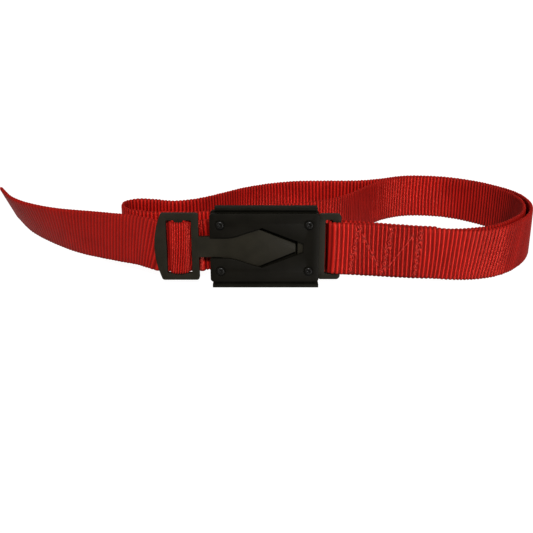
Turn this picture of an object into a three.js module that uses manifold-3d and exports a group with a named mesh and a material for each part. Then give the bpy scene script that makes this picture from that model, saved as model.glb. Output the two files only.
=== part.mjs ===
// A luggage strap: 25 mm ribbed webbing with a metal double-press buckle, lying as it is put down,
// with the buckle closed, its adjuster threaded and the spare webbing laid in two nested turns.
//
// Millimetres, +Z up. X runs along the buckle, from the tongue's adjuster to the anchor ring.
// The origin is the centre of the lower press pad's underside, which the buckle stands on.

import * as THREE from "three";
import { mergeVertices } from "three/addons/utils/BufferGeometryUtils.js";
import Module from "manifold-3d";

const wasm = await Module();
wasm.setup();

// ---- Driving dimensions ----

const webbing = { width: 25, thickness: 1.8 };
const axisHeight = 19.55; // the buckle's long axis above the floor
const plate = { length: 50.8, height: 33.2, thickness: 1.5, corner: 1.6 };
const caseDepth = 7.8; // over both plates
const tongueThickness = 2.4;
const latchSheet = 0.9; // each latch is a sheet behind the tongue, with a jaw that reaches forward
const layerGap = 0.15;
const screw = { x: 20.6, z: 11.2, headRadius: 2.15, headHeight: 1.25, shankRadius: 0.95, socketRadius: 0.85 };
const holeRadius = 1.1;
// Each press pad is a lip over the front plate's edge, on a block that slides between the plates.
const pad = { front: -3.6, back: 1.9, gap: 1.45, inset: 0.3, step: 0.6 };
const upperPad = { left: -23, right: 24.4, outer: 19.15 };
const lowerPad = { left: -24.5, right: 25.4, outer: axisHeight };
const neckHalf = 4.9; // half the height of the tongue's neck
const windowGap = 0.2; // round the neck, in the front plate's window
const tip = { x: 14.4, half: 2.1 }; // the arrow head's blunt end
const cheek = { x: -2.9, half: 9.5 }; // where the head is widest, just passing between the left spacers
const relief = { x: -2.1, half: 8.3, tipHalf: 1.6 }; // the head's upper edge is cut back to these
const notch = { left: -14.5, right: -8.9, half: 7.9 }; // the recess behind each shoulder, for a jaw
const jaw = { left: -14.1, right: -10, half: 8.4, outer: 11.6 };
const spacerHalf = 9.75; // the left spacers stand this far from the axis
const seatHalf = 13.2; // the springs stand on seats this far from the axis
const spring = { radius: 1.1, wire: 0.2, turns: 4, pocket: 1.6, length: 4.8 };
const adjuster = { left: -51.5, right: -30.8, half: 16.15, slotLeft: -45.8, slotRight: -34.1, slotHalf: 12.95 };
const adjusterBar = { left: -41.8, right: -38.2 };
const ring = { left: 15.4, slotLeft: 28.2, slotRight: 31.7, right: 35.5, half: 15.85, slotHalf: 13.2 };
const stitch = { width: 1.2, thickness: 0.3, half: 10.5, gap: 0.2 };

// The layers of the case, front to back.
const frontFace = -caseDepth / 2;
const frontInner = frontFace + plate.thickness;
const tongueFront = frontInner + layerGap;
const tongueBack = tongueFront + tongueThickness;
const upperSheetFront = tongueBack + layerGap;
const lowerSheetFront = upperSheetFront + latchSheet + layerGap;
const backInner = caseDepth / 2 - plate.thickness;

// The webbing's route, at the middle of its width: x, y, z, and the lean of its upper edge in degrees,
// towards the left of the way it runs. It starts at the sewn end's flap.
const route = [
  // flap, behind the first layer
  [80.5, 4.6, 15, 0], [70, 3.5, 15.9, 0], [56, 2.4, 17.2, 0], [44, 1.7, 18.5, 0],
  [36.6, 1.35, 19.2, 0], [32.3, 1.3, 19.4, 0],
  // round the ring's bar
  [30.65, 0.65, 19.4, 0], [30.3, -1.05, 19.4, 0], [30.65, -2.75, 19.4, 0],
  // first layer, to the right
  [32.3, -3.4, 19.4, 0], [36.6, -3.3, 19.2, 0], [44, -1.6, 18.5, 0], [56, 0.2, 17.2, 0],
  [70, 1.4, 15.9, 0], [80.5, 2.5, 15, 0], [92, 4.2, 13.7, 0], [105, 8, 12.7, 0],
  // outer turn
  [117, 14.3, 12.6, 0], [128, 25.5, 12.6, 0], [137, 39, 12.6, 0], [143, 54, 12.6, 0],
  [145.6, 71, 12.6, 0], [144, 87, 12.6, 0], [138, 101, 12.6, 0], [128.5, 114.5, 12.6, 0],
  [116, 124.5, 12.6, 0], [102, 129.2, 12.6, 0], [88, 129.2, 12.6, 0],
  // rear run, to the left
  [72, 121, 12.6, 0], [58, 115.8, 12.6, 0], [40, 115, 12.6, 0], [20, 114, 12.6, 0],
  [4, 108, 12.6, 0], [-12, 96.5, 12.6, 0], [-26, 81, 12.6, 0], [-38, 69.5, 12.6, 0],
  [-50, 64.5, 12.6, 0], [-61, 68, 12.6, 0],
  // left turn
  [-70, 69.5, 12.6, 0], [-76, 64.5, 12.6, 0], [-76.3, 55.5, 12.6, 0], [-71.5, 47, 12.6, 0],
  // middle run, to the right
  [-62, 42.6, 12.6, 0], [-48, 41.3, 12.6, 0], [-28, 42.5, 12.6, 0], [-10, 49, 12.6, 0],
  [5, 56, 12.6, 0], [20, 60.5, 12.6, 0], [35, 68, 12.6, 0], [46, 78, 12.6, 0],
  [56, 93, 12.6, 0], [65, 107, 12.6, 0],
  // inner turn
  [75, 118, 12.6, 0], [88, 125.3, 12.6, 0], [102, 126, 12.6, 0], [115, 121.5, 12.6, 0],
  [126, 112, 12.6, 0], [135, 99.5, 12.6, 0], [140.7, 85, 12.6, 0], [142.2, 71, 12.6, 0],
  [139.8, 56, 12.6, 0], [134, 41, 12.6, 0], [125, 28.5, 12.6, 0], [115, 18.5, 12.6, 0],
  // inner run, to the left, behind the case
  [103, 11.4, 12.7, 0], [88, 8, 12.9, 0], [70, 7, 13.6, 0], [50, 6.6, 14.9, 0],
  [28, 6, 16.4, 0], [8, 5.6, 17.7, 0], [-12, 5.4, 18.4, 0], [-22, 5.3, 18.6, 0],
  [-27, 4.9, 18.7, 0],
  // through the adjuster, over its bar
  [-31, 2.7, 18.5, 0], [-34.2, 1.4, 19.1, 0], [-35.9, -0.4, 19.4, 0], [-37.1, -2.7, 19.4, 0],
  [-40, -3.6, 19.4, 0], [-42.9, -2.7, 19.4, 0], [-43.9, -0.6, 19.4, 0], [-45.2, 1.4, 19.1, 0],
  [-50.5, 2.7, 18.7, 0],
  // tail, which leans and lifts towards its end
  [-56, 5.9, 19.1, 0], [-62.3, 10.7, 19.1, 1], [-72.2, 17.4, 18.2, 4], [-83.1, 24.3, 17.5, 7],
  [-93.1, 30.2, 17, 11], [-101.8, 35.5, 16.8, 16], [-110.6, 41.3, 17, 21], [-118.5, 46.6, 17.6, 25],
  [-126.1, 52.1, 18.5, 28], [-133, 57.7, 20.2, 30], [-140.6, 65, 24.2, 30],
];

// Each stretch of the webbing is a node, between two points of the route.
const stretches = [
  ["webbing_sewn_end", 0, 15],
  ["webbing_outer_turn", 15, 28],
  ["webbing_rear_run", 28, 37],
  ["webbing_left_turn", 37, 42],
  ["webbing_middle_run", 42, 51],
  ["webbing_inner_turn", 51, 64],
  ["webbing_inner_run", 64, 72],
  ["webbing_tail", 72, route.length - 1],
];
const firstLayer = [9, 15]; // the points of the route that the stitching lies on
const stepsPerSpan = 3;
const stretchGap = 0.6; // between two stretches, and wide enough for the tongue's play at the tail

// The stitching on the sewn end: three rows across and two slanting ones between them, as the
// places along X and the heights from the middle of the webbing that each row joins.
const stitchRows = [
  ["stitch_row_inner", 41.1, -1, 42.5, 1],
  ["stitch_row_slant_inner", 44.4, 0.7, 54.8, -0.7],
  ["stitch_row_middle", 56.8, -1, 58.4, 1],
  ["stitch_row_slant_outer", 60, -0.7, 70, 0.7],
  ["stitch_row_outer", 72.6, -1, 72.4, 1],
];

// ---- Materials ----

const blackSteel = new THREE.MeshStandardMaterial({ color: 0x201f1b, roughness: 0.5, metalness: 0.4 });
const darkSteel = new THREE.MeshStandardMaterial({ color: 0x32312b, roughness: 0.45, metalness: 0.5 });
const springSteel = new THREE.MeshStandardMaterial({ color: 0x9a9a98, roughness: 0.3, metalness: 0.9 });
const redWebbing = new THREE.MeshStandardMaterial({ color: 0xb22624, roughness: 0.7, metalness: 0 });
const redThread = new THREE.MeshStandardMaterial({ color: 0xa8201f, roughness: 0.6, metalness: 0 });

// ---- Geometry helpers ----

function toSolid(geometry) {
  const bare = geometry.clone();
  for (const name of Object.keys(bare.attributes)) {
    if (name !== "position") bare.deleteAttribute(name);
  }
  const merged = mergeVertices(bare, 1e-4);
  return new wasm.Manifold(new wasm.Mesh({
    numProp: 3,
    vertProperties: merged.attributes.position.array,
    triVerts: new Uint32Array(merged.index.array),
  }));
}

function toGeometry(solid) {
  const made = solid.getMesh();
  const geometry = new THREE.BufferGeometry();
  geometry.setAttribute("position", new THREE.BufferAttribute(made.vertProperties, made.numProp));
  geometry.setIndex(new THREE.BufferAttribute(made.triVerts, 1));
  geometry.computeVertexNormals();
  return geometry;
}

function join(...geometries) {
  return geometries.map(toSolid).reduce((whole, piece) => whole.add(piece));
}

// A plate with its outline in X and Z, between two depths in Y.
function slab(shape, yFront, yBack) {
  const geometry = new THREE.ExtrudeGeometry(shape, {
    depth: yBack - yFront,
    bevelEnabled: false,
    curveSegments: 6,
  });
  return geometry.rotateX(Math.PI / 2).translate(0, yBack, 0);
}

function block(xLow, xHigh, yLow, yHigh, zLow, zHigh) {
  return new THREE.BoxGeometry(xHigh - xLow, yHigh - yLow, zHigh - zLow)
    .translate((xLow + xHigh) / 2, (yLow + yHigh) / 2, (zLow + zHigh) / 2);
}

// A cylinder along Z.
function roundZ(radius, zLow, zHigh, x, y, sides = 16) {
  return new THREE.CylinderGeometry(radius, radius, zHigh - zLow, sides)
    .rotateX(Math.PI / 2)
    .translate(x, y, (zLow + zHigh) / 2);
}

function roundedRectangle(xLow, xHigh, zLow, zHigh, radius) {
  const shape = new THREE.Shape();
  addRoundedRectangle(shape, xLow, xHigh, zLow, zHigh, radius);
  return shape;
}

function addRoundedRectangle(path, xLow, xHigh, zLow, zHigh, radius) {
  path.moveTo(xLow + radius, zLow);
  path.lineTo(xHigh - radius, zLow);
  path.absarc(xHigh - radius, zLow + radius, radius, -Math.PI / 2, 0);
  path.lineTo(xHigh, zHigh - radius);
  path.absarc(xHigh - radius, zHigh - radius, radius, 0, Math.PI / 2);
  path.lineTo(xLow + radius, zHigh);
  path.absarc(xLow + radius, zHigh - radius, radius, Math.PI / 2, Math.PI);
  path.lineTo(xLow, zLow + radius);
  path.absarc(xLow + radius, zLow + radius, radius, Math.PI, Math.PI * 1.5);
  return path;
}

function roundHole(x, z, radius) {
  return new THREE.Path().absarc(x, z, radius, 0, Math.PI * 2, true);
}

function named(name, geometryOrSolid, material) {
  const isGeometry = geometryOrSolid.isBufferGeometry === true;
  const mesh = new THREE.Mesh(isGeometry ? geometryOrSolid : toGeometry(geometryOrSolid), material);
  mesh.name = name;
  return mesh;
}

// ---- The case ----

// The front plate's window is the arrow head's outline, open at the left, where the neck comes in.
// Its lines are drawn from the plate's axis, so that the lower half mirrors the upper one.
function frontPlateShape() {
  const half = plate.length / 2;
  const low = axisHeight - plate.height / 2;
  const high = axisHeight + plate.height / 2;
  const mouth = neckHalf + windowGap;
  const shape = new THREE.Shape();
  shape.moveTo(-half + plate.corner, low);
  shape.lineTo(half - plate.corner, low);
  shape.absarc(half - plate.corner, low + plate.corner, plate.corner, -Math.PI / 2, 0);
  shape.lineTo(half, high - plate.corner);
  shape.absarc(half - plate.corner, high - plate.corner, plate.corner, 0, Math.PI / 2);
  shape.lineTo(-half + plate.corner, high);
  shape.absarc(-half + plate.corner, high - plate.corner, plate.corner, Math.PI / 2, Math.PI);
  shape.lineTo(-half, axisHeight + mouth);
  shape.lineTo(-18, axisHeight + mouth);
  shape.quadraticCurveTo(-14.5, axisHeight + mouth, -9, axisHeight + 7.35);
  shape.lineTo(-1.2, axisHeight + 9.7);
  shape.lineTo(18, axisHeight + 2.2);
  shape.lineTo(18, axisHeight - 2.2);
  shape.lineTo(-1.2, axisHeight - 9.7);
  shape.lineTo(-9, axisHeight - 7.35);
  shape.quadraticCurveTo(-14.5, axisHeight - mouth, -18, axisHeight - mouth);
  shape.lineTo(-half, axisHeight - mouth);
  shape.lineTo(-half, low + plate.corner);
  shape.absarc(-half + plate.corner, low + plate.corner, plate.corner, Math.PI, Math.PI * 1.5);
  return shape;
}

function addScrewHoles(shape) {
  for (const x of [-screw.x, screw.x]) {
    for (const z of [axisHeight - screw.z, axisHeight + screw.z]) {
      shape.holes.push(roundHole(x, z, holeRadius));
    }
  }
  return shape;
}

function frontPlate() {
  return named("front_plate", slab(addScrewHoles(frontPlateShape()), frontFace, frontInner), blackSteel);
}

function backPlate() {
  const half = plate.length / 2;
  const outline = roundedRectangle(
    -half, half, axisHeight - plate.height / 2, axisHeight + plate.height / 2, plate.corner);
  return named("back_plate", slab(addScrewHoles(outline), backInner, -frontFace), blackSteel);
}

// The ring that the sewn end is looped on is one plate, held between the case's plates by two screws.
function anchorRing() {
  const outline = roundedRectangle(
    plate.length / 2 - 0.6, ring.right, axisHeight - ring.half, axisHeight + ring.half, 1.8);
  const slot = new THREE.Path();
  addRoundedRectangle(
    slot, ring.slotLeft, ring.slotRight, axisHeight - ring.slotHalf, axisHeight + ring.slotHalf, 0.6);
  outline.holes.push(slot);
  const body = roundedRectangle(
    ring.left, plate.length / 2 + 1.5, axisHeight - seatHalf, axisHeight + seatHalf, 0.5);
  for (const z of [axisHeight - screw.z, axisHeight + screw.z]) {
    body.holes.push(roundHole(screw.x, z, holeRadius));
  }
  return named("anchor_ring",
    join(slab(outline, tongueFront, tongueBack), slab(body, tongueFront, tongueBack)), darkSteel);
}

// At the left a block fills the case round each screw; at the right a washer stands behind the ring.
function spacers() {
  const made = [];
  for (const [place, side] of [["upper", 1], ["lower", -1]]) {
    const inner = axisHeight + side * spacerHalf;
    const seat = axisHeight + side * seatHalf;
    const shape = roundedRectangle(-23.6, -18.3, Math.min(inner, seat), Math.max(inner, seat), 0.3);
    shape.holes.push(roundHole(-screw.x, axisHeight + side * screw.z, holeRadius));
    made.push(named(`${place}_spacer`, slab(shape, tongueFront, backInner - layerGap), darkSteel));
    const disc = new THREE.Shape().absarc(screw.x, axisHeight + side * screw.z, 2.3, 0, Math.PI * 2);
    disc.holes.push(roundHole(screw.x, axisHeight + side * screw.z, holeRadius));
    made.push(named(`${place}_washer`, slab(disc, upperSheetFront, backInner - layerGap), darkSteel));
  }
  return made;
}

// A button-head socket screw along Y, with its head on the front plate.
function screws() {
  const made = [];
  for (const [height, side] of [["upper", 1], ["lower", -1]]) {
    for (const [place, x] of [["left", -screw.x], ["right", screw.x]]) {
      const top = screw.headHeight;
      const profile = [
        [0, -caseDepth], [screw.shankRadius, -caseDepth], [screw.shankRadius, 0.08],
        [screw.headRadius, 0.08], [screw.headRadius, 0.3], [screw.headRadius * 0.93, top * 0.62],
        [screw.headRadius * 0.72, top * 0.92], [screw.headRadius * 0.5, top], [0, top],
      ].map(([radius, along]) => new THREE.Vector2(radius, along));
      const turned = toSolid(new THREE.LatheGeometry(profile, 20));
      const socket = toSolid(new THREE.CylinderGeometry(screw.socketRadius, screw.socketRadius, 1.6, 6)
        .translate(0, top, 0));
      // The lathe's axis is turned from +Y to -Y, so that the head looks forward.
      const geometry = toGeometry(turned.subtract(socket))
        .rotateX(Math.PI)
        .translate(x, frontFace, axisHeight + side * screw.z);
      made.push(named(`${height}_${place}_screw`, geometry, blackSteel));
    }
  }
  return made;
}

// ---- The latches ----

// The upper latch hangs behind the tongue and catches its lower shoulder, and the lower latch stands
// behind it and catches the upper one, so pressing the two pads together opens both jaws.
// A latch is drawn as the upper one; the lower is its mirror image, one sheet further back.
function latch(side, sheetFront, ends) {
  const outer = axisHeight + ends.outer;
  const lip = axisHeight + plate.height / 2 + pad.gap;
  const inner = axisHeight + plate.height / 2 - pad.inset;
  const sheetBack = sheetFront + latchSheet;
  let body = join(
    block(ends.left, ends.right, pad.front, pad.back, lip, outer),
    block(ends.left + pad.step, ends.right - pad.step, -pad.back, pad.back, inner, lip + 0.1),
    block(-17.8, 14.8, sheetFront, sheetBack, axisHeight - jaw.outer - 1, inner + 0.2),
    block(jaw.left, jaw.right, tongueFront + 0.1, sheetFront + 0.2, axisHeight - jaw.outer, axisHeight - jaw.half),
  );
  for (const x of [-screw.x, screw.x]) {
    body = body.subtract(toSolid(roundZ(spring.pocket, inner - 1, axisHeight + seatHalf + spring.length, x, 0)));
  }
  if (side > 0) {
    // The other latch's jaw passes through this sheet.
    body = body.subtract(toSolid(block(
      jaw.left - 0.4, jaw.right + 0.4, sheetFront - 1, sheetBack + 1,
      axisHeight + jaw.half - 3.2, axisHeight + jaw.outer + 3.2)));
  }
  const geometry = toGeometry(body);
  if (side < 0) mirrorInHeight(geometry);
  return geometry;
}

function mirrorInHeight(geometry) {
  const position = geometry.attributes.position;
  for (let i = 0; i < position.count; i++) {
    position.setZ(i, 2 * axisHeight - position.getZ(i));
  }
  const index = geometry.index;
  for (let i = 0; i < index.count; i += 3) {
    const kept = index.getX(i + 1);
    index.setX(i + 1, index.getX(i + 2));
    index.setX(i + 2, kept);
  }
  geometry.computeVertexNormals();
}

function latches() {
  return [
    named("upper_latch", latch(1, upperSheetFront, upperPad), blackSteel),
    named("lower_latch", latch(-1, lowerSheetFront, lowerPad), blackSteel),
  ];
}

// Four compression springs push the pads outwards, from seats on the spacers and the ring's plate.
function springs() {
  const made = [];
  for (const [height, side] of [["upper", 1], ["lower", -1]]) {
    for (const [place, x] of [["left", -screw.x], ["right", screw.x]]) {
      const seat = axisHeight + side * (seatHalf + layerGap);
      const points = [];
      const count = spring.turns * 8;
      const rise = spring.length - 2 * layerGap - 2 * spring.wire;
      for (let i = 0; i <= count; i++) {
        const turn = (i / 8) * Math.PI * 2;
        points.push(new THREE.Vector3(
          x + spring.radius * Math.cos(turn),
          -spring.radius * Math.sin(turn) * side,
          seat + side * (spring.wire + rise * (i / count))));
      }
      const section = new THREE.Shape().absarc(0, 0, spring.wire, 0, Math.PI * 2);
      const geometry = new THREE.ExtrudeGeometry(section, {
        steps: count,
        curveSegments: 3,
        bevelEnabled: false,
        extrudePath: new THREE.CatmullRomCurve3(points),
      });
      made.push(named(`${height}_${place}_spring`, geometry, springSteel));
    }
  }
  return made;
}

// ---- The tongue ----

// The arrow head's shoulders, the neck and the adjuster's frame are one plate.
function headShape() {
  const shape = new THREE.Shape();
  const common = [
    [adjuster.right - 1, neckHalf], [-20, neckHalf], [-17.2, neckHalf + 1.1], [notch.left, notch.half],
    [notch.right, notch.half], [notch.right, cheek.half], [cheek.x, cheek.half],
  ];
  const lower = [...common, [tip.x, tip.half]];
  const upper = [...common, [relief.x, relief.half], [tip.x, relief.tipHalf]];
  shape.moveTo(lower[0][0], axisHeight - lower[0][1]);
  for (const [x, half] of lower.slice(1)) shape.lineTo(x, axisHeight - half);
  for (const [x, half] of [...upper].reverse()) shape.lineTo(x, axisHeight + half);
  return shape;
}

// The frame's left side bows outwards, and its corners are cut back to the rails.
function adjusterShape() {
  const { left, right, half, slotLeft, slotRight, slotHalf } = adjuster;
  const low = axisHeight - half;
  const high = axisHeight + half;
  const corner = 1.2;
  const shape = new THREE.Shape();
  shape.moveTo(left + 4.2, low);
  shape.lineTo(right - corner, low);
  shape.absarc(right - corner, low + corner, corner, -Math.PI / 2, 0);
  shape.lineTo(right, high - corner);
  shape.absarc(right - corner, high - corner, corner, 0, Math.PI / 2);
  shape.lineTo(left + 4.2, high);
  shape.quadraticCurveTo(left + 3.4, high, left + 3, high - 0.9);
  shape.quadraticCurveTo(left - 3, axisHeight, left + 3, low + 0.9);
  shape.quadraticCurveTo(left + 3.4, low, left + 4.2, low);
  for (const [from, to] of [[slotLeft, adjusterBar.left], [adjusterBar.right, slotRight]]) {
    const slot = new THREE.Path();
    addRoundedRectangle(slot, from, to, axisHeight - slotHalf, axisHeight + slotHalf, 0.5);
    shape.holes.push(slot);
  }
  return shape;
}

function tongue() {
  return named("tongue",
    join(slab(headShape(), tongueFront, tongueBack), slab(adjusterShape(), tongueFront, tongueBack)), darkSteel);
}

// ---- The webbing ----

const centreCurve = new THREE.CatmullRomCurve3(
  route.map(([x, y, z]) => new THREE.Vector3(x, y, z)), false, "centripetal");

// The centre, the way along, the way across the width and the outward normal at a place on the route,
// counted in spans from its first point.
function frameAt(place) {
  const share = place / (route.length - 1);
  const centre = centreCurve.getPoint(share);
  const along = centreCurve.getTangent(share);
  const left = new THREE.Vector3(-along.y, along.x, 0).normalize();
  const up = new THREE.Vector3().crossVectors(along, left);
  const span = Math.min(Math.floor(place), route.length - 2);
  const lean = THREE.MathUtils.degToRad(
    THREE.MathUtils.lerp(route[span][3], route[span + 1][3], place - span));
  const across = up.multiplyScalar(Math.cos(lean)).addScaledVector(left, Math.sin(lean));
  const normal = new THREE.Vector3().crossVectors(across, along);
  return { centre, along, across, normal };
}

// A closed ribbon of rectangular section between two points of the route, drawn back a little at
// each end from the next stretch.
function ribbon(from, to) {
  const steps = (to - from) * stepsPerSpan;
  const frames = [];
  for (let i = 0; i <= steps; i++) frames.push(frameAt(from + i / stepsPerSpan));
  if (from > 0) frames[0].centre.addScaledVector(frames[0].along, stretchGap / 2);
  if (to < route.length - 1) frames[steps].centre.addScaledVector(frames[steps].along, -stretchGap / 2);
  const corners = [];
  for (const { centre, across, normal } of frames) {
    for (const [a, n] of [[-1, -1], [-1, 1], [1, 1], [1, -1]]) {
      corners.push(...centre.clone()
        .addScaledVector(across, a * webbing.width / 2)
        .addScaledVector(normal, n * webbing.thickness / 2)
        .toArray());
    }
  }
  const faces = [0, 2, 1, 0, 3, 2];
  for (let i = 0; i < steps; i++) {
    for (let k = 0; k < 4; k++) {
      const a = i * 4 + k;
      const b = i * 4 + (k + 1) % 4;
      faces.push(a, b, b + 4, a, b + 4, a + 4);
    }
  }
  const end = steps * 4;
  faces.push(end, end + 1, end + 2, end, end + 2, end + 3);
  const geometry = new THREE.BufferGeometry();
  geometry.setAttribute("position", new THREE.Float32BufferAttribute(corners, 3));
  geometry.setIndex(faces);
  geometry.computeVertexNormals();
  return geometry;
}

function webbingStretches() {
  return stretches.map(([name, from, to]) => named(name, ribbon(from, to), redWebbing));
}

// The place on the first layer, in spans of the route, whose centre has a given x.
function placeOnFirstLayer(x) {
  const [from, to] = firstLayer;
  let low = from;
  let high = to;
  while (high - low > 1e-4) {
    const middle = (low + high) / 2;
    if (frameAt(middle).centre.x < x) low = middle;
    else high = middle;
  }
  return low;
}

// A row of stitches is a thin bar that lies on the first layer's face.
function stitchBars() {
  return stitchRows.map(([name, xStart, heightStart, xEnd, heightEnd]) => {
    const [start, end] = [[xStart, heightStart], [xEnd, heightEnd]].map(([x, height]) => {
      const frame = frameAt(placeOnFirstLayer(x));
      return frame.centre.clone()
        .addScaledVector(frame.across, height * stitch.half)
        .addScaledVector(frame.normal, -(webbing.thickness + stitch.thickness) / 2 - stitch.gap);
    });
    const middle = frameAt(placeOnFirstLayer((xStart + xEnd) / 2));
    const length = start.distanceTo(end);
    const direction = end.clone().sub(start).normalize();
    const side = new THREE.Vector3().crossVectors(direction, middle.normal).normalize();
    const facing = new THREE.Vector3().crossVectors(side, direction);
    const placed = new THREE.Matrix4()
      .makeBasis(side, direction, facing)
      .setPosition(start.add(end).multiplyScalar(0.5));
    const bar = new THREE.BoxGeometry(stitch.width, length, stitch.thickness).applyMatrix4(placed);
    return named(name, bar, redThread);
  });
}

// ---- The whole strap ----

const group = new THREE.Group();
group.add(
  frontPlate(), backPlate(), anchorRing(), ...spacers(), ...screws(),
  tongue(), ...latches(), ...springs(),
  ...webbingStretches(), ...stitchBars(),
);

export default group;
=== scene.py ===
"""The finished look of a red webbing luggage strap with a dark metal double-press buckle.

Blender 4.5, metres, in the frame's own axes: X along the buckle, Z across the webbing's width.
Sizes are written in millimetres and turned into metres with MM.
"""

import math

import bmesh
import bpy
import numpy as np
from mathutils import Matrix, Vector


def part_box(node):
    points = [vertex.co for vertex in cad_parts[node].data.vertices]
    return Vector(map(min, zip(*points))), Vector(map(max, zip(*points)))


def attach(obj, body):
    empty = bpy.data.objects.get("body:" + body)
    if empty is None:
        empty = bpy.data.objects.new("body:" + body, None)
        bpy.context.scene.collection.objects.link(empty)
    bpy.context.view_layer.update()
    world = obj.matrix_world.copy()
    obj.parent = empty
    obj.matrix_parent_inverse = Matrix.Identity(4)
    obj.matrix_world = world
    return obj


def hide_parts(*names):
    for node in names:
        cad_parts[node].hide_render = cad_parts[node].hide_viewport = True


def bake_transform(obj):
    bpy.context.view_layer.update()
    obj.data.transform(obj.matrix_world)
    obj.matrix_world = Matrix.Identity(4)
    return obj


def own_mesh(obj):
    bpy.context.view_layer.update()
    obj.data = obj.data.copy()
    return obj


MM = 0.001

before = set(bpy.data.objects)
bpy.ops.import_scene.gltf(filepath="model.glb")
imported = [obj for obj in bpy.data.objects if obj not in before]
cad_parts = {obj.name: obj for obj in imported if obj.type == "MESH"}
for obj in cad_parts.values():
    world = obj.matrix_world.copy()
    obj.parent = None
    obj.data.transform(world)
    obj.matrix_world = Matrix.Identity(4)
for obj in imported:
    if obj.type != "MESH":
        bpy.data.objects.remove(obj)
bpy.context.view_layer.update()

CAMERA_PLACE = (0.0009, -0.332, 0.1244)
CAMERA_DOWN = 19.13  # degrees below level
SKY_LIGHT = 0.4
FLOOR_LIGHT = 0.4
SEEN_WHITE = 1.1  # the sky's strength as the camera sees it
FLOOR_SEEN_WHITE = 0.97
FLOOR_COLOUR = (0.05, 0.05, 0.05, 1)
FLOOR_SIDE = 6
FLOOR_DROP = 0.0002

CASE_BODY = "buckle_case_and_webbing"
TONGUE_BODY = "tongue_and_tail"

# ---------------------------------------------------------------- camera and light


def make_camera():
    data = bpy.data.cameras.new("camera")
    data.lens = 50
    data.sensor_width = 36
    data.clip_start = 0.01
    data.clip_end = 20
    camera = bpy.data.objects.new("camera", data)
    camera.location = CAMERA_PLACE
    camera.rotation_euler = (math.radians(90 - CAMERA_DOWN), 0, 0)
    bpy.context.scene.collection.objects.link(camera)
    bpy.context.scene.camera = camera


def soft_sun(name, towards, strength, spread, glossy=True, diffuse=True):
    """A distant soft light that shines the way `towards`, with a disc `spread` degrees wide."""
    data = bpy.data.lights.new(name, "SUN")
    data.energy = strength
    data.angle = math.radians(spread)
    light = bpy.data.objects.new(name, data)
    light.rotation_euler = Vector(towards).to_track_quat("-Z", "Y").to_euler()
    light.visible_glossy = glossy
    light.visible_diffuse = diffuse
    bpy.context.scene.collection.objects.link(light)


def make_sky():
    """Even light from all round, which the camera itself sees as plain white."""
    world = bpy.data.worlds.new("studio")
    world.use_nodes = True
    tree = world.node_tree
    background = tree.nodes["Background"]
    background.inputs["Color"].default_value = (1, 1, 1, 1)
    seen = add(tree, "ShaderNodeLightPath").outputs["Is Camera Ray"]
    tree.links.new(mapped(tree, seen, SKY_LIGHT, SEEN_WHITE), background.inputs["Strength"])
    bpy.context.scene.world = world


def make_floor():
    """The ground the strap lies on. It casts no shadow, so that the glint from below passes it."""
    mesh = bpy.data.meshes.new("floor")
    corners = [(x * FLOOR_SIDE, y * FLOOR_SIDE, -FLOOR_DROP) for x, y in ((-1, -1), (1, -1), (1, 1), (-1, 1))]
    mesh.from_pydata(corners, [], [(0, 1, 2, 3)])
    floor = bpy.data.objects.new("floor", mesh)
    material, tree, shader = new_material("floor_white")
    shader.inputs["Base Color"].default_value = FLOOR_COLOUR
    shader.inputs["Roughness"].default_value = 0.9
    shader.inputs["Specular IOR Level"].default_value = 0
    shader.inputs["Emission Color"].default_value = (1, 1, 1, 1)
    seen = add(tree, "ShaderNodeLightPath").outputs["Is Camera Ray"]
    tree.links.new(mapped(tree, seen, FLOOR_LIGHT, FLOOR_SEEN_WHITE), shader.inputs["Emission Strength"])
    floor.data.materials.append(material)
    bpy.context.scene.collection.objects.link(floor)
    floor.visible_shadow = False


def make_studio():
    bpy.context.scene.view_settings.view_transform = "Standard"
    bpy.context.scene.view_settings.gamma = 0.72
    make_sky()
    make_floor()
    soft_sun("key", (-0.06, 0.84, -0.54), 4.2, 9)
    soft_sun("left_fill", (0.68, 0.65, -0.4), 0.6, 30)
    soft_sun("back_fill", (-0.3, -0.8, -0.45), 2.6, 40, glossy=False)
    # Light thrown back by the ground, which shows in reflections alone.
    soft_sun("floor_glint", (-0.44, 0.84, 0.3), 2.0, 16, diffuse=False)


# ---------------------------------------------------------------- materials


def new_material(name):
    material = bpy.data.materials.new(name)
    material.use_nodes = True
    tree = material.node_tree
    return material, tree, tree.nodes["Principled BSDF"]


def add(tree, kind, **settings):
    node = tree.nodes.new(kind)
    for name, value in settings.items():
        if name in node.inputs:
            node.inputs[name].default_value = value
        else:
            setattr(node, name, value)
    return node


def math_node(tree, operation, first, second=0.0):
    node = tree.nodes.new("ShaderNodeMath")
    node.operation = operation
    for socket, value in zip(node.inputs, (first, second)):
        if isinstance(value, (int, float)):
            socket.default_value = value
        else:
            tree.links.new(value, socket)
    return node.outputs[0]


def mapped(tree, value, low, high):
    """A number from 0 to 1 moved to between two others."""
    node = add(tree, "ShaderNodeMapRange")
    tree.links.new(value, node.inputs["Value"])
    node.inputs["To Min"].default_value = low
    node.inputs["To Max"].default_value = high
    return node.outputs["Result"]


def noise_on(tree, scale, detail=4):
    where = add(tree, "ShaderNodeTexCoord")
    noise = add(tree, "ShaderNodeTexNoise", Scale=scale, Detail=detail)
    tree.links.new(where.outputs["Object"], noise.inputs["Vector"])
    return noise.outputs["Fac"]


def ramp_between(tree, factor, dark, light, low=0.3, high=0.7):
    ramp = add(tree, "ShaderNodeValToRGB")
    ramp.color_ramp.elements[0].position = low
    ramp.color_ramp.elements[1].position = high
    ramp.color_ramp.elements[0].color = (*dark, 1)
    ramp.color_ramp.elements[1].color = (*light, 1)
    tree.links.new(factor, ramp.inputs["Fac"])
    return ramp.outputs["Color"]


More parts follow.
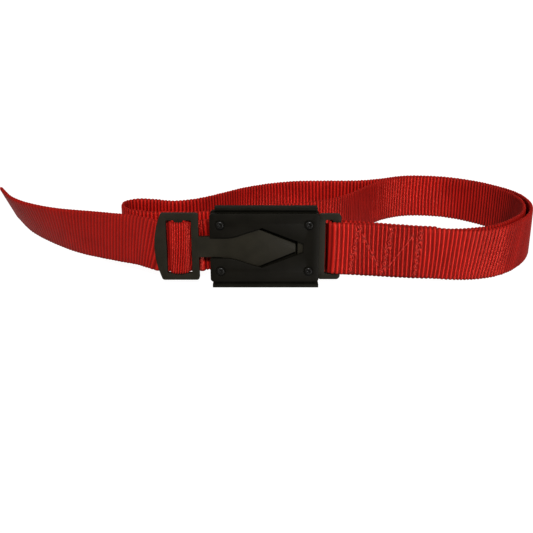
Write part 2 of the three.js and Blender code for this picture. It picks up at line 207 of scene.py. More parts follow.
def mixed(tree, factor, first, second):
    mix = add(tree, "ShaderNodeMix", data_type="RGBA")
    tree.links.new(factor, mix.inputs[0])
    tree.links.new(first, mix.inputs[6])
    tree.links.new(second, mix.inputs[7])
    return mix.outputs[2]


def bumped(tree, shader, height, strength, distance):
    bump = add(tree, "ShaderNodeBump", Strength=strength, Distance=distance)
    tree.links.new(height, bump.inputs["Height"])
    tree.links.new(bump.outputs["Normal"], shader.inputs["Normal"])


def webbing_material():
    """Ribbed polyester: painted shade colours the grooves and the ribs' sides darker than the crests, with
    fine warp threads across each rib.
    """
    material, tree, shader = new_material("red_webbing")
    groove = add(tree, "ShaderNodeAttribute", attribute_name="groove").outputs["Fac"]
    across = add(tree, "ShaderNodeAttribute", attribute_name="across_mm").outputs["Fac"]
    selvedge = add(tree, "ShaderNodeAttribute", attribute_name="selvedge").outputs["Fac"]
    patches = noise_on(tree, 90)
    fuzz = noise_on(tree, 2600, detail=2)
    # Painted light and shade: light is the crests' lit red and dark a shaded copy of it, mixed by the groove
    # attribute.
    dark = ramp_between(tree, patches, (0.085, 0.0005, 0.0003), (0.110, 0.0008, 0.0004))
    light = ramp_between(tree, patches, (0.400, 0.019, 0.0125), (0.485, 0.025, 0.017))
    tree.links.new(mixed(tree, groove, light, dark), shader.inputs["Base Color"])

    thread = math_node(tree, "SINE", math_node(tree, "MULTIPLY", across, 2 * math.pi / WARP_PITCH))
    height = math_node(tree, "ADD", math_node(tree, "MULTIPLY", thread, 0.5), fuzz)
    bumped(tree, shader, height, 0.38, 0.08 * MM)
    tree.links.new(mapped(tree, selvedge, 0.34, 0.85), shader.inputs["Roughness"])
    shader.inputs["IOR"].default_value = 1.55
    shader.inputs["Specular IOR Level"].default_value = 1
    shader.inputs["Specular Tint"].default_value = (1, 0.22, 0.17, 1)
    shader.inputs["Sheen Weight"].default_value = 0.02
    shader.inputs["Sheen Roughness"].default_value = 0.35
    shader.inputs["Sheen Tint"].default_value = (1, 0.55, 0.48, 1)
    return material


def thread_material():
    material, tree, shader = new_material("red_thread")
    colour = ramp_between(tree, noise_on(tree, 1800, detail=2), (0.30, 0.026, 0.018), (0.46, 0.048, 0.035))
    tree.links.new(colour, shader.inputs["Base Color"])
    bumped(tree, shader, noise_on(tree, 5000, detail=2), 0.3, 0.05 * MM)
    shader.inputs["Roughness"].default_value = 0.45
    shader.inputs["Specular IOR Level"].default_value = 0.2
    shader.inputs["Sheen Weight"].default_value = 0.08
    return material


def coated_metal(name, colour, roughness, specular, grain):
    """A thin coat over metal: fine grain in its height and slow patches in its colour and roughness."""
    material, tree, shader = new_material(name)
    patches = noise_on(tree, 140)
    low = tuple(c * 0.85 for c in colour)
    high = tuple(c * 1.15 for c in colour)
    tree.links.new(ramp_between(tree, patches, low, high), shader.inputs["Base Color"])
    tree.links.new(mapped(tree, patches, roughness - 0.05, roughness + 0.07), shader.inputs["Roughness"])
    bumped(tree, shader, noise_on(tree, 3200, detail=3), grain, 0.03 * MM)
    shader.inputs["Specular IOR Level"].default_value = specular
    return material


def bare_metal(name, colour, roughness):
    material, tree, shader = new_material(name)
    patches = noise_on(tree, 400)
    low = tuple(c * 0.8 for c in colour)
    tree.links.new(ramp_between(tree, patches, low, colour), shader.inputs["Base Color"])
    bumped(tree, shader, noise_on(tree, 5000, detail=2), 0.15, 0.02 * MM)
    shader.inputs["Metallic"].default_value = 1
    shader.inputs["Roughness"].default_value = roughness
    return material


# ---------------------------------------------------------------- mesh helpers


def new_piece(name, mesh, material, body=None, replaced=()):
    piece = bpy.data.objects.new(name, mesh)
    bpy.context.scene.collection.objects.link(piece)
    mesh.materials.clear()
    mesh.materials.append(material)
    if body:
        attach(piece, body)
    if replaced:
        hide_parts(*replaced)
    return piece


def smooth_by_angle(mesh, degrees):
    mesh.shade_smooth()
    mesh.set_sharp_from_angle(angle=math.radians(degrees))


def finished_metal(node, material, body, edge_mm, steps=3):
    """The CAD node's shape with its edges rounded, as a piece that stands for it."""
    mesh = bpy.data.meshes.new(node + "_finished")
    work = bmesh.new()
    work.from_mesh(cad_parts[node].data)
    bmesh.ops.remove_doubles(work, verts=work.verts, dist=0.002 * MM)
    bmesh.ops.dissolve_limit(work, angle_limit=math.radians(1), verts=work.verts, edges=work.edges)
    sharp = [e for e in work.edges if len(e.link_faces) == 2 and e.calc_face_angle(0) > math.radians(30)]
    bmesh.ops.bevel(
        work, geom=sharp, offset=edge_mm * MM, offset_type="OFFSET", segments=steps, profile=0.5,
        affect="EDGES", clamp_overlap=True)
    bmesh.ops.triangulate(work, faces=[f for f in work.faces if len(f.verts) > 4])
    work.to_mesh(mesh)
    work.free()
    smooth_by_angle(mesh, 40)
    return new_piece(node + "_finished", mesh, material, body, (node,))


# ---------------------------------------------------------------- the webbing's route

WEBBING_WIDTH = 25.0
RIB_PITCH = 2.1
RIB_STEPS = 6

# The same points as the frame's, at the middle of the width: x, y, z in millimetres, and the lean of
# the upper edge in degrees.
ROUTE = [
    # flap, behind the first layer
    (80.5, 4.6, 15, 0), (70, 3.5, 15.9, 0), (56, 2.4, 17.2, 0), (44, 1.7, 18.5, 0),
    (36.6, 1.35, 19.2, 0), (32.3, 1.3, 19.4, 0),
    # round the ring's bar
    (30.65, 0.65, 19.4, 0), (30.3, -1.05, 19.4, 0), (30.65, -2.75, 19.4, 0),
    # first layer, to the right
    (32.3, -3.4, 19.4, 0), (36.6, -3.3, 19.2, 0), (44, -1.6, 18.5, 0), (56, 0.2, 17.2, 0),
    (70, 1.4, 15.9, 0), (80.5, 2.5, 15, 0), (92, 4.2, 13.7, 0), (105, 8, 12.7, 0),
    # outer turn
    (117, 14.3, 12.6, 0), (128, 25.5, 12.6, 0), (137, 39, 12.6, 0), (143, 54, 12.6, 0),
    (145.6, 71, 12.6, 0), (144, 87, 12.6, 0), (138, 101, 12.6, 0), (128.5, 114.5, 12.6, 0),
    (116, 124.5, 12.6, 0), (102, 129.2, 12.6, 0), (88, 129.2, 12.6, 0),
    # rear run, to the left
    (72, 121, 12.6, 0), (58, 115.8, 12.6, 0), (40, 115, 12.6, 0), (20, 114, 12.6, 0),
    (4, 108, 12.6, 0), (-12, 96.5, 12.6, 0), (-26, 81, 12.6, 0), (-38, 69.5, 12.6, 0),
    (-50, 64.5, 12.6, 0), (-61, 68, 12.6, 0),
    # left turn
    (-70, 69.5, 12.6, 0), (-76, 64.5, 12.6, 0), (-76.3, 55.5, 12.6, 0), (-71.5, 47, 12.6, 0),
    # middle run, to the right
    (-62, 42.6, 12.6, 0), (-48, 41.3, 12.6, 0), (-28, 42.5, 12.6, 0), (-10, 49, 12.6, 0),
    (5, 56, 12.6, 0), (20, 60.5, 12.6, 0), (35, 68, 12.6, 0), (46, 78, 12.6, 0),
    (56, 93, 12.6, 0), (65, 107, 12.6, 0),
    # inner turn
    (75, 118, 12.6, 0), (88, 125.3, 12.6, 0), (102, 126, 12.6, 0), (115, 121.5, 12.6, 0),
    (126, 112, 12.6, 0), (135, 99.5, 12.6, 0), (140.7, 85, 12.6, 0), (142.2, 71, 12.6, 0),
    (139.8, 56, 12.6, 0), (134, 41, 12.6, 0), (125, 28.5, 12.6, 0), (115, 18.5, 12.6, 0),
    # inner run, to the left, behind the case
    (103, 11.4, 12.7, 0), (88, 8, 12.9, 0), (70, 7, 13.6, 0), (50, 6.6, 14.9, 0),
    (28, 6, 16.4, 0), (8, 5.6, 17.7, 0), (-12, 5.4, 18.4, 0), (-22, 5.3, 18.6, 0),
    (-27, 4.9, 18.7, 0),
    # through the adjuster, over its bar
    (-31, 2.7, 18.5, 0), (-34.2, 1.4, 19.1, 0), (-35.9, -0.4, 19.4, 0), (-37.1, -2.7, 19.4, 0),
    (-40, -3.6, 19.4, 0), (-42.9, -2.7, 19.4, 0), (-43.9, -0.6, 19.4, 0), (-45.2, 1.4, 19.1, 0),
    (-50.5, 2.7, 18.7, 0),
    # tail, which leans and lifts towards its end
    (-56, 5.9, 19.1, 0), (-62.3, 10.7, 19.1, 1), (-72.2, 17.4, 18.2, 4), (-83.1, 24.3, 17.5, 7),
    (-93.1, 30.2, 17, 11), (-101.8, 35.5, 16.8, 16), (-110.6, 41.3, 17, 21), (-118.5, 46.6, 17.6, 25),
    (-126.1, 52.1, 18.5, 28), (-133, 57.7, 20.2, 30), (-140.6, 65, 24.2, 30),
]
BAR_PLACES = (74.4, 79.6)  # between these the webbing bends over the adjuster's bar, which opens its ribs
CHORD = 1.3  # half the chord that gives the way along, so that the joins between short lines don't show
FLAP = (0, 5)  # the route's points that the sewn end's back layer lies between
FIRST_LAYER = (9, 15)


def smooth_route(per_span=40):
    """The route as a centripetal Catmull-Rom curve: places counted in spans, centres and leans."""
    points = np.array([p[:3] for p in ROUTE], float)
    leans = np.radians([p[3] for p in ROUTE])
    padded = np.vstack([2 * points[0] - points[1], points, 2 * points[-1] - points[-2]])
    places, centres = [], []
    for span in range(len(points) - 1):
        p0, p1, p2, p3 = padded[span:span + 4]
        t0 = 0.0
        t1 = t0 + np.linalg.norm(p1 - p0) ** 0.5
        t2 = t1 + np.linalg.norm(p2 - p1) ** 0.5
        t3 = t2 + np.linalg.norm(p3 - p2) ** 0.5
        last = span == len(points) - 2
        share = np.linspace(0, 1, per_span + 1)[: per_span + 1 if last else per_span]
        t = (t1 + (t2 - t1) * share)[:, None]
        a1 = (t1 - t) / (t1 - t0) * p0 + (t - t0) / (t1 - t0) * p1
        a2 = (t2 - t) / (t2 - t1) * p1 + (t - t1) / (t2 - t1) * p2
        a3 = (t3 - t) / (t3 - t2) * p2 + (t - t2) / (t3 - t2) * p3
        b1 = (t2 - t) / (t2 - t0) * a1 + (t - t0) / (t2 - t0) * a2
        b2 = (t3 - t) / (t3 - t1) * a2 + (t - t1) / (t3 - t1) * a3
        centres.append((t2 - t) / (t2 - t1) * b1 + (t - t1) / (t2 - t1) * b2)
        places.append(span + share)
    places = np.concatenate(places)
    return places, np.vstack(centres), np.interp(places, np.arange(len(points)), leans)


class Route:
    """Stations along the route, each with its centre and the ways along, across and left.

    `along` is the distance run at each station, and `in_rib` how far across its rib it is, from 0 to 1.
    """

    def __init__(self):
        places, centres, leans = smooth_route()
        run = np.concatenate([[0], np.cumsum(np.linalg.norm(np.diff(centres, axis=0), axis=1))])
        self.length = run[-1]
        self.ribs = round(self.length / RIB_PITCH)
        pitch = self.length / self.ribs
        over_bar = np.interp(BAR_PLACES, places, run) / pitch
        shares = [
            i + np.arange(steps) / steps
            for i in range(self.ribs)
            for steps in [2 * RIB_STEPS if over_bar[0] < i < over_bar[1] else RIB_STEPS]]
        in_ribs = np.append(np.concatenate(shares), self.ribs)
        self.along = in_ribs * pitch
        self.rib = np.minimum(in_ribs.astype(int), self.ribs - 1)
        self.in_rib = in_ribs - self.rib
        self.centre = self.curve(self.along, run, centres)
        self.place = np.interp(self.along, run, places)
        chord = self.curve(self.along + CHORD, run, centres) - self.curve(self.along - CHORD, run, centres)
        self.forward = chord / np.linalg.norm(chord, axis=1)[:, None]
        left = np.stack([-self.forward[:, 1], self.forward[:, 0], np.zeros(len(self.forward))], axis=1)
        left /= np.linalg.norm(left, axis=1)[:, None]
        up = np.cross(self.forward, left)
        lean = np.interp(self.along, run, leans)[:, None]
        self.across = up * np.cos(lean) + left * np.sin(lean)
        self.left = np.cross(self.across, self.forward)

    def near(self, stations, slide):
        """The place, centre, way across and way left at distances `slide` along from some stations."""
        where = self.along[stations][:, None] + slide
        place = np.interp(where, self.along, self.place)
        fields = [
            np.stack([np.interp(where, self.along, rows[:, k]) for k in range(3)], axis=-1)
            for rows in (self.centre, self.across, self.left)]
        return place, *fields

    @staticmethod
    def curve(distance, run, centres):
        """Points at distances along the route, which goes straight on past its ends."""
        inside = np.clip(distance, 0, run[-1])
        points = np.stack([np.interp(inside, run, centres[:, k]) for k in range(3)], axis=1)
        first = (centres[1] - centres[0]) / run[1]
        last = (centres[-1] - centres[-2]) / (run[-1] - run[-2])
        before, beyond = np.minimum(distance, 0)[:, None], np.maximum(distance - run[-1], 0)[:, None]
        return points + before * first + beyond * last

    def on_face(self, stretch, x, height, out):
        """A point `out` from the middle of the webbing, on the face to the right of its way, at a given x."""
        inside = np.flatnonzero((self.place >= stretch[0]) & (self.place <= stretch[1]))
        inside = inside[np.argsort(self.centre[inside, 0])]
        xs = self.centre[inside, 0]
        centre, across, left = (
            np.array([np.interp(x, xs, rows[inside, k]) for k in range(3)])
            for rows in (self.centre, self.across, self.left))
        return centre + across * height - left * out


# ---------------------------------------------------------------- stitching

# Rows on the sewn end, as (x, height) at one end and the other, and whether the row is a zigzag.
STITCH_ROWS = {
    "stitch_row_inner": ((42.5, 11.3), (41.0, -11.5), True),
    "stitch_row_slant_inner": ((44.4, 7.6), (54.8, -8.0), False),
    "stitch_row_middle": ((58.5, 11.3), (56.8, -11.5), True),
    "stitch_row_slant_outer": ((59.2, -7.8), (68.9, 8.0), False),
    "stitch_row_outer": ((72.3, 11.3), (72.6, -11.5), True),
}
ZIGZAG_HALF = 0.8
ZIGZAG_STEP = 1.75
STRAIGHT_STEP = 2.9
STITCH_THREAD = 0.3  # radius
STITCH_CREST = {True: 0.84, False: 0.74}  # from the middle of the webbing to the thread's, if a zigzag or not
STITCH_SUNK = 0.3  # the same at a hole
PULLED_HALF = 0.68  # half the webbing's thickness under the stitches


def stitch_holes(start, end, zigzag):
    """The needle's holes along a row, as (x, height)."""
    start, end = np.array(start), np.array(end)
    length = np.linalg.norm(end - start)
    way = (end - start) / length
    side = np.array([-way[1], way[0]])
    count = round(length / (ZIGZAG_STEP if zigzag else STRAIGHT_STEP))
    swing = ZIGZAG_HALF if zigzag else 0
    return [start + way * length * i / count + side * swing * (1 if i % 2 else -1) for i in range(count + 1)]


def distance_to_segment(x, height, start, end):
    sx, sh = start
    dx, dh = end[0] - sx, end[1] - sh
    share = np.clip(((x - sx) * dx + (height - sh) * dh) / (dx * dx + dh * dh), 0, 1)
    return np.hypot(x - sx - share * dx, height - sh - share * dh)


def pull_of_stitches(x, height):
    """How far the thread draws the webbing's outer face in, from 0 to 1."""
    pull = np.zeros_like(x)
    for start, end, zigzag in STITCH_ROWS.values():
        away = distance_to_segment(x, height, start, end)
        if zigzag:
            away = np.maximum(away - ZIGZAG_HALF, 0)
        pull = np.maximum(pull, (1 if zigzag else 0.8) * np.exp(-((away / 0.85) ** 2)))
    return pull


HOLE_SPREAD = 0.75  # how far round a needle hole the webbing dips


def dimple_of_holes(x, height):
    """How near a needle hole a place is, from 0 to 1."""
    near = np.zeros_like(x)
    for start, end, zigzag in STITCH_ROWS.values():
        for hole in stitch_holes(start, end, zigzag):
            away = np.hypot(x - hole[0], height - hole[1])
            near = np.maximum(near, np.exp(-((away / HOLE_SPREAD) ** 2)))
    return near


def add_thread(vertices, faces, path, radius, across, out):
    """A round thread along a path, closed at both ends."""
    sides = 8
    first = len(vertices)
    for k, point in enumerate(path):
        share = k / (len(path) - 1)
        thick = radius * (1 - 0.35 * abs(2 * share - 1) ** 3)
        for j in range(sides):
            turn = 2 * math.pi * j / sides
            vertices.append(point + thick * (math.cos(turn) * across + math.sin(turn) * out))
    for k in range(len(path) - 1):
        for j in range(sides):
            here, beside = first + k * sides + j, first + k * sides + (j + 1) % sides
            faces.append((here, beside, beside + sides, here + sides))
    faces.append(tuple(range(first + sides - 1, first - 1, -1)))
    last = first + (len(path) - 1) * sides
    faces.append(tuple(range(last, last + sides)))


def make_stitch_row(route, name, material):
    """Each stitch rises from one hole and dips into the next, on the first layer and on the flap behind."""
    start, end, zigzag = STITCH_ROWS[name]
    holes = stitch_holes(start, end, zigzag)
    vertices, faces = [], []
    for stretch in (FIRST_LAYER, FLAP):
        for here, there in zip(holes, holes[1:]):
            path = []
            for share in np.linspace(0, 1, 9):
                x, height = here + (there - here) * share
                out = STITCH_SUNK + (STITCH_CREST[zigzag] - STITCH_SUNK) * math.sin(math.pi * share) ** 0.6
                path.append(route.on_face(stretch, x, height, out))
            way = (path[-1] - path[0]) / np.linalg.norm(path[-1] - path[0])
            halfway = (here + there) / 2
            outwards = route.on_face(stretch, *halfway, 1) - route.on_face(stretch, *halfway, 0)
            across = np.cross(way, outwards)
            add_thread(vertices, faces, path, STITCH_THREAD, across / np.linalg.norm(across), outwards)
    mesh = bpy.data.meshes.new(name + "_thread")
    mesh.from_pydata((np.array(vertices) * MM).tolist(), [], faces)
    face_outwards(mesh)
    mesh.shade_smooth()
    return new_piece(name + "_thread", mesh, material, CASE_BODY, (name,))


# ---------------------------------------------------------------- the webbing

# How far the ribs lean along the webbing from straight across, as (place on the route, degrees).
RIB_LEAN = [
    (0, 4), (5, 2), (9, 0), (10, -3), (11, -7), (13, -5), (14, -4), (15, -1), (16, 8), (17.3, 18), (18.5, 18),
    (20, 8), (21.5, 0), (73, 0), (75, -3), (79, -3), (81, -11), (84, -12), (87, -12), (89, -6), (92, 0),
]

# How deep the ribs are, as (place on the route, share): they lie flatter in the slack tail, with less painted
# shade.
RIB_DEPTH = [(0, 1), (79, 1), (82, 0.62), (88, 0.35), (92, 0.35)]

# Half of the section, from the lower edge to the upper one: height from the middle as a share of half
# the width, and the face's distance from the middle as a share of the rib's.
SECTION = [
    (-1.0, 0.42), (-0.978, 0.82), (-0.91, 0.98), (-0.7, 1), (-0.42, 1), (-0.14, 1),
    (0.14, 1), (0.42, 1), (0.7, 1), (0.91, 0.98), (0.978, 0.82), (1.0, 0.42),
]
FINER = 4  # the sewn part's section has this many times the points
SEWN_FROM, SEWN_TO = 39.0, 75.5  # where along x the finer section runs
SEWN_SHADE = 0.15  # the doubled part is this much nearer a groove's colour
SEWN_FADE = 4  # over this length at each end of it
PULLED_SHADE = 0.33  # painted shade: where a stitch pulls the face in, its colour is this near a groove's
# painted shade in the needle holes, as a multiple of how near a hole is
HOLE_SHADE = 1.2
WARP_PITCH = 0.42  # between the fine threads that run along the webbing
GROOVE_HALF = 0.4  # half the thickness at the bottom of a groove
RIB_HALF = 0.93
SLACK_SHADE = 0.5  # painted shade: between a crest's colour and a groove's, where the ribs lie flat
SHADE_CURVE = 0.75  # below 1, the grooves' painted shade spreads up the ribs' sides
YARN_CREST, YARN_DROP = 0.95, 1.25  # over the bar: how high a yarn stands, and how far it falls beside
SELVEDGE_SHADE = 0.35
FACES_APART = 40  # keeps the fine threads of the two faces from lining up
SELVEDGE = (0.9, 0.98)  # the matt edge starts and is full at these shares of half the width
MELTED = 0.7  # the cut ends are sealed with heat over this length


def rib_profile(route):
    """How far each station stands up in its rib, from 0 in a groove to 1 on the crest, and its painted shade.
    """
    depth = np.interp(route.place, *zip(*RIB_DEPTH))
    rng = np.random.default_rng(7)
    size = (1 + 0.1 * rng.standard_normal(route.ribs)).clip(0.82, 1.12)[route.rib]
    whole = np.abs(2 * route.in_rib - 1)
    # Over the bar each rib parts into the two yarns it is made of.
    halves = np.abs(2 * ((2 * route.in_rib) % 1) - 1)
    low, high = BAR_PLACES
    parted = np.clip(6 * (route.place - low) * (high - route.place) / (high - low) ** 2, 0, 1)
    rise = size * ((1 - whole ** 2) * (1 - parted) + (YARN_CREST - YARN_DROP * halves ** 2) * parted)
    # Painted shade: darkest in a groove and, over the bar, between the two yarns; flatter ribs carry less of
    # it.
    shade = (whole * (1 - parted) + halves * parted) ** SHADE_CURVE
    return 1 - (1 - rise) * depth, SLACK_SHADE + (shade - SLACK_SHADE) * depth


def slow_noise(rng, along, spacing):
    """Smooth random values along the webbing, about 1 in size, that change over a distance `spacing`."""
    knots = rng.standard_normal(int(along[-1] / spacing) + 3)
    where = along / spacing
    share = where % 1
    share = share * share * (3 - 2 * share)
    return knots[where.astype(int)] * (1 - share) + knots[where.astype(int) + 1] * share


def rib_slide(route, w):
    """How far each point of a rib lies along the webbing from straight across.

    The ribs lean as RIB_LEAN says, and on top of that have a slow skew, a slow bow and a small shake.
    """
    rng = np.random.default_rng(11)
    places, leans = zip(*RIB_LEAN)
    lean = np.tan(np.radians(np.interp(route.place, places, leans))) * WEBBING_WIDTH / 2
    skew = lean + 0.15 * slow_noise(rng, route.along, 23)
    bow = 0.28 * slow_noise(rng, route.along, 17)
    shake = (0.06 * rng.standard_normal(route.ribs))[route.rib] * (1 - np.abs(2 * route.in_rib - 1))
    ends = np.clip(np.minimum(route.along, route.length - route.along) / 12, 0, 1)
    return (skew * ends)[:, None] * w + (bow * ends)[:, None] * (w * w - 0.5) + shake[:, None]


def closed_section(finer):
    """The section's points right round, lower edge first, left face then right face."""
    ring = np.array(SECTION + [(w, -h) for w, h in reversed(SECTION)])
    following = np.roll(ring, -1, axis=0)
    shares = (np.arange(finer) / finer)[None, :, None]
    return (ring[:, None] * (1 - shares) + following[:, None] * shares).reshape(-1, 2)


def webbing_points(route, stations, finer):
    """The webbing's surface at some stations: points, and how dark each is coloured (mostly painted shade,
    most of it in a groove), how far across and how near a selvedge each is."""
    ring = closed_section(finer)
    w, h = ring[:, 0], ring[:, 1]
    rise, shade = (values[stations][:, None] for values in rib_profile(route))
    half = GROOVE_HALF + (RIB_HALF - GROOVE_HALF) * rise
    melted = np.minimum(route.along, route.length - route.along)[stations][:, None]
    half = half * (0.5 + 0.5 * np.sqrt(np.clip(melted / MELTED, 0, 1)))
    height = w * (WEBBING_WIDTH / 2 * (0.978 + 0.032 * rise))
    reach = h * half
    # Painted shade from the rib's profile.
    groove = shade + 0 * h
    place, centre, across, left = route.near(stations, rib_slide(route, w)[stations])
    if finer > 1:
        outer = ((place <= FLAP[1]) | ((place >= FIRST_LAYER[0]) & (place <= FIRST_LAYER[1]))) & (h < 0)
        pull = np.where(outer, pull_of_stitches(centre[..., 0], height), 0)
        dimple = np.where(outer, dimple_of_holes(centre[..., 0], height), 0)
        pressed = h * (PULLED_HALF + 0.25 * (half - GROOVE_HALF))
        reach = reach * (1 - pull) + np.sign(h) * np.minimum(np.abs(reach), np.abs(pressed)) * pull
        reach = reach * (1 - 0.6 * dimple)
        inwards = np.minimum(centre[..., 0] - SEWN_FROM, SEWN_TO - centre[..., 0])
        doubled = np.clip(inwards / SEWN_FADE, 0, 1)
        groove = groove + np.where(outer, SEWN_SHADE * doubled, 0)
        # Painted shade where the stitches pull the face in and round the needle holes.
        groove = np.maximum(groove * (1 - 0.5 * pull) + PULLED_SHADE * pull, dimple * HOLE_SHADE)
    points = centre + across * height[..., None] + left * reach[..., None]
    selvedge = np.clip((np.abs(w) - SELVEDGE[0]) / (SELVEDGE[1] - SELVEDGE[0]), 0, 1) + 0 * groove
    groove = np.clip(groove, 0, 1)
    groove = groove + (1 - groove) * SELVEDGE_SHADE * selvedge
    across_mm = height + np.where(h < 0, FACES_APART, 0)
    return points, {"groove": groove, "across_mm": across_mm, "selvedge": selvedge}


def strips(route):
    """Runs of stations that share one section: (first, last, how many times finer)."""
    sewn = (
        ((route.place <= FLAP[1]) | ((route.place >= FIRST_LAYER[0]) & (route.place <= FIRST_LAYER[1])))
        & (route.centre[:, 0] > SEWN_FROM) & (route.centre[:, 0] < SEWN_TO))
    changes = [0, *(np.flatnonzero(np.diff(sewn.astype(int))) + 1), len(sewn)]
    return [(a, b - 1, FINER if sewn[a] else 1) for a, b in zip(changes, changes[1:])]


def make_webbing(route, material):
    points, faces = [], []
    marks = {"groove": [], "across_mm": [], "selvedge": []}
    offset = 0
    before = None
    for first, last, finer in strips(route):
        stations = np.arange(first, last + 1)
        surface, marked = webbing_points(route, stations, finer)
        around = surface.shape[1]
        index = offset + np.arange(len(stations) * around).reshape(len(stations), around)
        here, there = index[:-1], index[1:]
        quads = np.stack([here, there, np.roll(there, -1, axis=1), np.roll(here, -1, axis=1)], axis=-1)
        faces += quads.reshape(-1, 4).tolist()
        if before is None:
            faces.append(index[0].tolist())
        else:
            faces += joining_faces(before, index[0])
        before = index[-1]
        points.append(surface.reshape(-1, 3))
        for name, values in marked.items():
            marks[name].append(values.reshape(-1))
        offset += index.size
    faces.append(before[::-1].tolist())
    mesh = bpy.data.meshes.new("webbing")
    mesh.from_pydata((np.concatenate(points) * MM).tolist(), [], faces)
    for name, values in marks.items():
        layer = mesh.attributes.new(name, "FLOAT", "POINT")
        layer.data.foreach_set("value", np.concatenate(values).astype(np.float32))
    face_outwards(mesh)
    mesh.shade_smooth()
    return new_piece("webbing", mesh, material)


def joining_faces(ring, following):
    """Faces between two sections, one of which may have a whole number of times the other's points."""
    fewer = min(len(ring), len(following))
    a, b = len(ring) // fewer, len(following) // fewer
    made = []
    for i in range(fewer):
        near = [int(ring[(i * a + k) % len(ring)]) for k in range(a + 1)]
        far = [int(following[(i * b + k) % len(following)]) for k in range(b + 1)]
        made.append(near[::-1] + far)
    return made


def face_outwards(mesh):
    work = bmesh.new()
    work.from_mesh(mesh)
    bmesh.ops.recalc_face_normals(work, faces=work.faces)
    work.to_mesh(mesh)
    work.free()


# ---------------------------------------------------------------- screws and springs


def low_and_high(node):
    low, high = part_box(node)
    return Vector(low) / MM, Vector(high) / MM


def hexagon_radius(turn, inner):
    """How far a hexagon's side is from its middle, `inner` being the least."""
    return inner / math.cos((turn + math.pi / 6) % (math.pi / 3) - math.pi / 6)


SCREW_HEAD = 1.17  # from the crown to the head's underside
SCREW_SHANK = 0.95
CROWN = 0.52  # the flat crown's share of the head's radius
# The hexagon socket, from its drilled middle to its rim: (reach to a flat, depth below the crown).
SOCKET = [(0, 1.0), (0.3, 0.95), (0.72, 0.82), (0.74, 0.09), (0.80, 0.02)]


def make_screw(node, material):
    """A button head with a hexagon socket, and its shank through to the back plate."""
    low, high = low_and_high(node)
    middle = (low + high) / 2
    top, head = low.y, SCREW_HEAD
    radius = (high.x - low.x) / 2
    shank = SCREW_SHANK
    sides = 48
    dome = [(radius * (CROWN + (1 - CROWN) * math.sin(t)), top + (head - 0.3) * (1 - math.cos(t)), False)
            for t in np.radians(np.arange(12, 91, 13))]
    profile = (
        [(reach, top + depth, True) for reach, depth in SOCKET]
        + [(1.0, top, False)]
        + dome
        + [(radius, top + head - 0.06, False), (radius - 0.06, top + head, False), (shank, top + head, False),
           (shank, high.y - 0.25, False), (shank - 0.2, high.y - 0.02, False), (0, high.y - 0.02, False)])
    vertices, faces = [], []
    rings = []
    for reach, y, hexagonal in profile:
        ring = []
        for j in range(sides if reach else 1):
            turn = 2 * math.pi * j / sides
            r = hexagon_radius(turn, reach) if hexagonal and reach else reach
            ring.append(len(vertices))
            place = (middle.x + r * math.cos(turn), y, middle.z + r * math.sin(turn))
            vertices.append(tuple(value * MM for value in place))
        rings.append(ring)
    for a, b in zip(rings, rings[1:]):
        for j in range(sides):
            k = (j + 1) % sides
            faces.append(tuple(dict.fromkeys((a[j % len(a)], a[k % len(a)], b[k % len(b)], b[j % len(b)]))))
    mesh = bpy.data.meshes.new(node + "_turned")
    mesh.from_pydata(vertices, [], faces)
    face_outwards(mesh)
    smooth_by_angle(mesh, 45)
    return new_piece(node + "_turned", mesh, material, CASE_BODY, (node,))


SPRING_WIRE = 0.2
SPRING_TURNS = 4
END_TURN = 0.75  # of a turn lies flat at each end


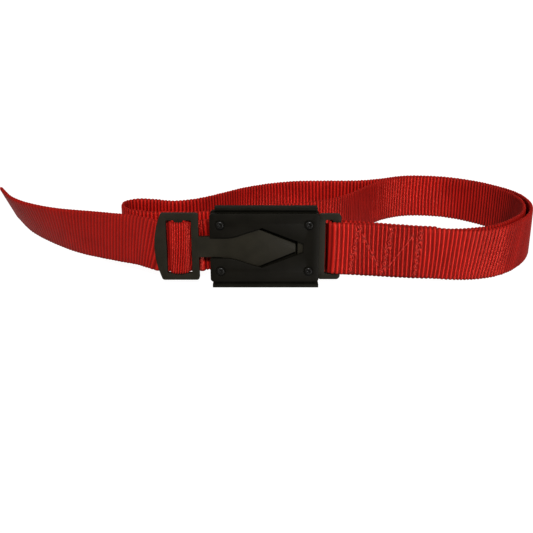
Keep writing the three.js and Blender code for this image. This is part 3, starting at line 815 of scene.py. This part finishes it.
def make_spring(node, material):
    """A helix whose end turns lie flat on the seat and under the pad."""
    low, high = low_and_high(node)
    middle = (low + high) / 2
    coil = (high.x - low.x) / 2 - SPRING_WIRE
    steps = SPRING_TURNS * 28
    sides = 10
    bottom, top = low.z + SPRING_WIRE, high.z - SPRING_WIRE
    vertices, faces = [], []
    for i in range(steps + 1):
        share = i / steps
        climb = min(max((share * SPRING_TURNS - END_TURN) / (SPRING_TURNS - 2 * END_TURN), 0), 1)
        turn = 2 * math.pi * SPRING_TURNS * share
        out = Vector((math.cos(turn), math.sin(turn), 0))
        centre = Vector((middle.x, middle.y, bottom + (top - bottom) * climb)) + out * coil
        for j in range(sides):
            round_wire = 2 * math.pi * j / sides
            rim = math.cos(round_wire) * out + math.sin(round_wire) * Vector((0, 0, 1))
            vertices.append((centre + SPRING_WIRE * rim) * MM)
    for i in range(steps):
        for j in range(sides):
            here, beside = i * sides + j, i * sides + (j + 1) % sides
            faces.append((here, beside, beside + sides, here + sides))
    faces.append(tuple(range(sides)))
    faces.append(tuple(range(steps * sides + sides - 1, steps * sides - 1, -1)))
    mesh = bpy.data.meshes.new(node + "_coil")
    mesh.from_pydata(vertices, [], faces)
    face_outwards(mesh)
    mesh.shade_smooth()
    piece = new_piece(node + "_coil", mesh, material, CASE_BODY, (node,))
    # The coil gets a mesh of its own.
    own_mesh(piece)
    return piece


# ---------------------------------------------------------------- build

make_camera()
make_studio()

red_webbing = webbing_material()
red_thread = thread_material()
black_coat = coated_metal("black_coat", (0.0116, 0.0101, 0.0068), 0.42, 0.11, 0.25)
grey_coat = coated_metal("grey_coat", (0.0300, 0.0270, 0.0195), 0.40, 0.09, 0.15)
pad_coat = coated_metal("pad_coat", (0.0150, 0.0140, 0.0098), 0.42, 0.05, 0.25)
screw_black = coated_metal("screw_black", (0.0095, 0.0085, 0.0066), 0.34, 0.25, 0.1)
spring_wire = bare_metal("spring_wire", (0.5, 0.5, 0.48), 0.25)

route = Route()
webbing = make_webbing(route, red_webbing)
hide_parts(*[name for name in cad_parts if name.startswith("webbing_")])
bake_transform(webbing)
stitches = [make_stitch_row(route, name, red_thread) for name in STITCH_ROWS]

for node in ("front_plate", "back_plate"):
    finished_metal(node, black_coat, CASE_BODY, 0.3)
for node in ("anchor_ring", "upper_spacer", "lower_spacer", "upper_washer", "lower_washer"):
    finished_metal(node, grey_coat, CASE_BODY, 0.3)
finished_metal("tongue", grey_coat, TONGUE_BODY, 0.35)
for node in ("upper_latch", "lower_latch"):
    finished_metal(node, pad_coat, node, 0.25)
for height in ("upper", "lower"):
    for side in ("left", "right"):
        make_screw(f"{height}_{side}_screw", screw_black)
        make_spring(f"{height}_{side}_spring", spring_wire)
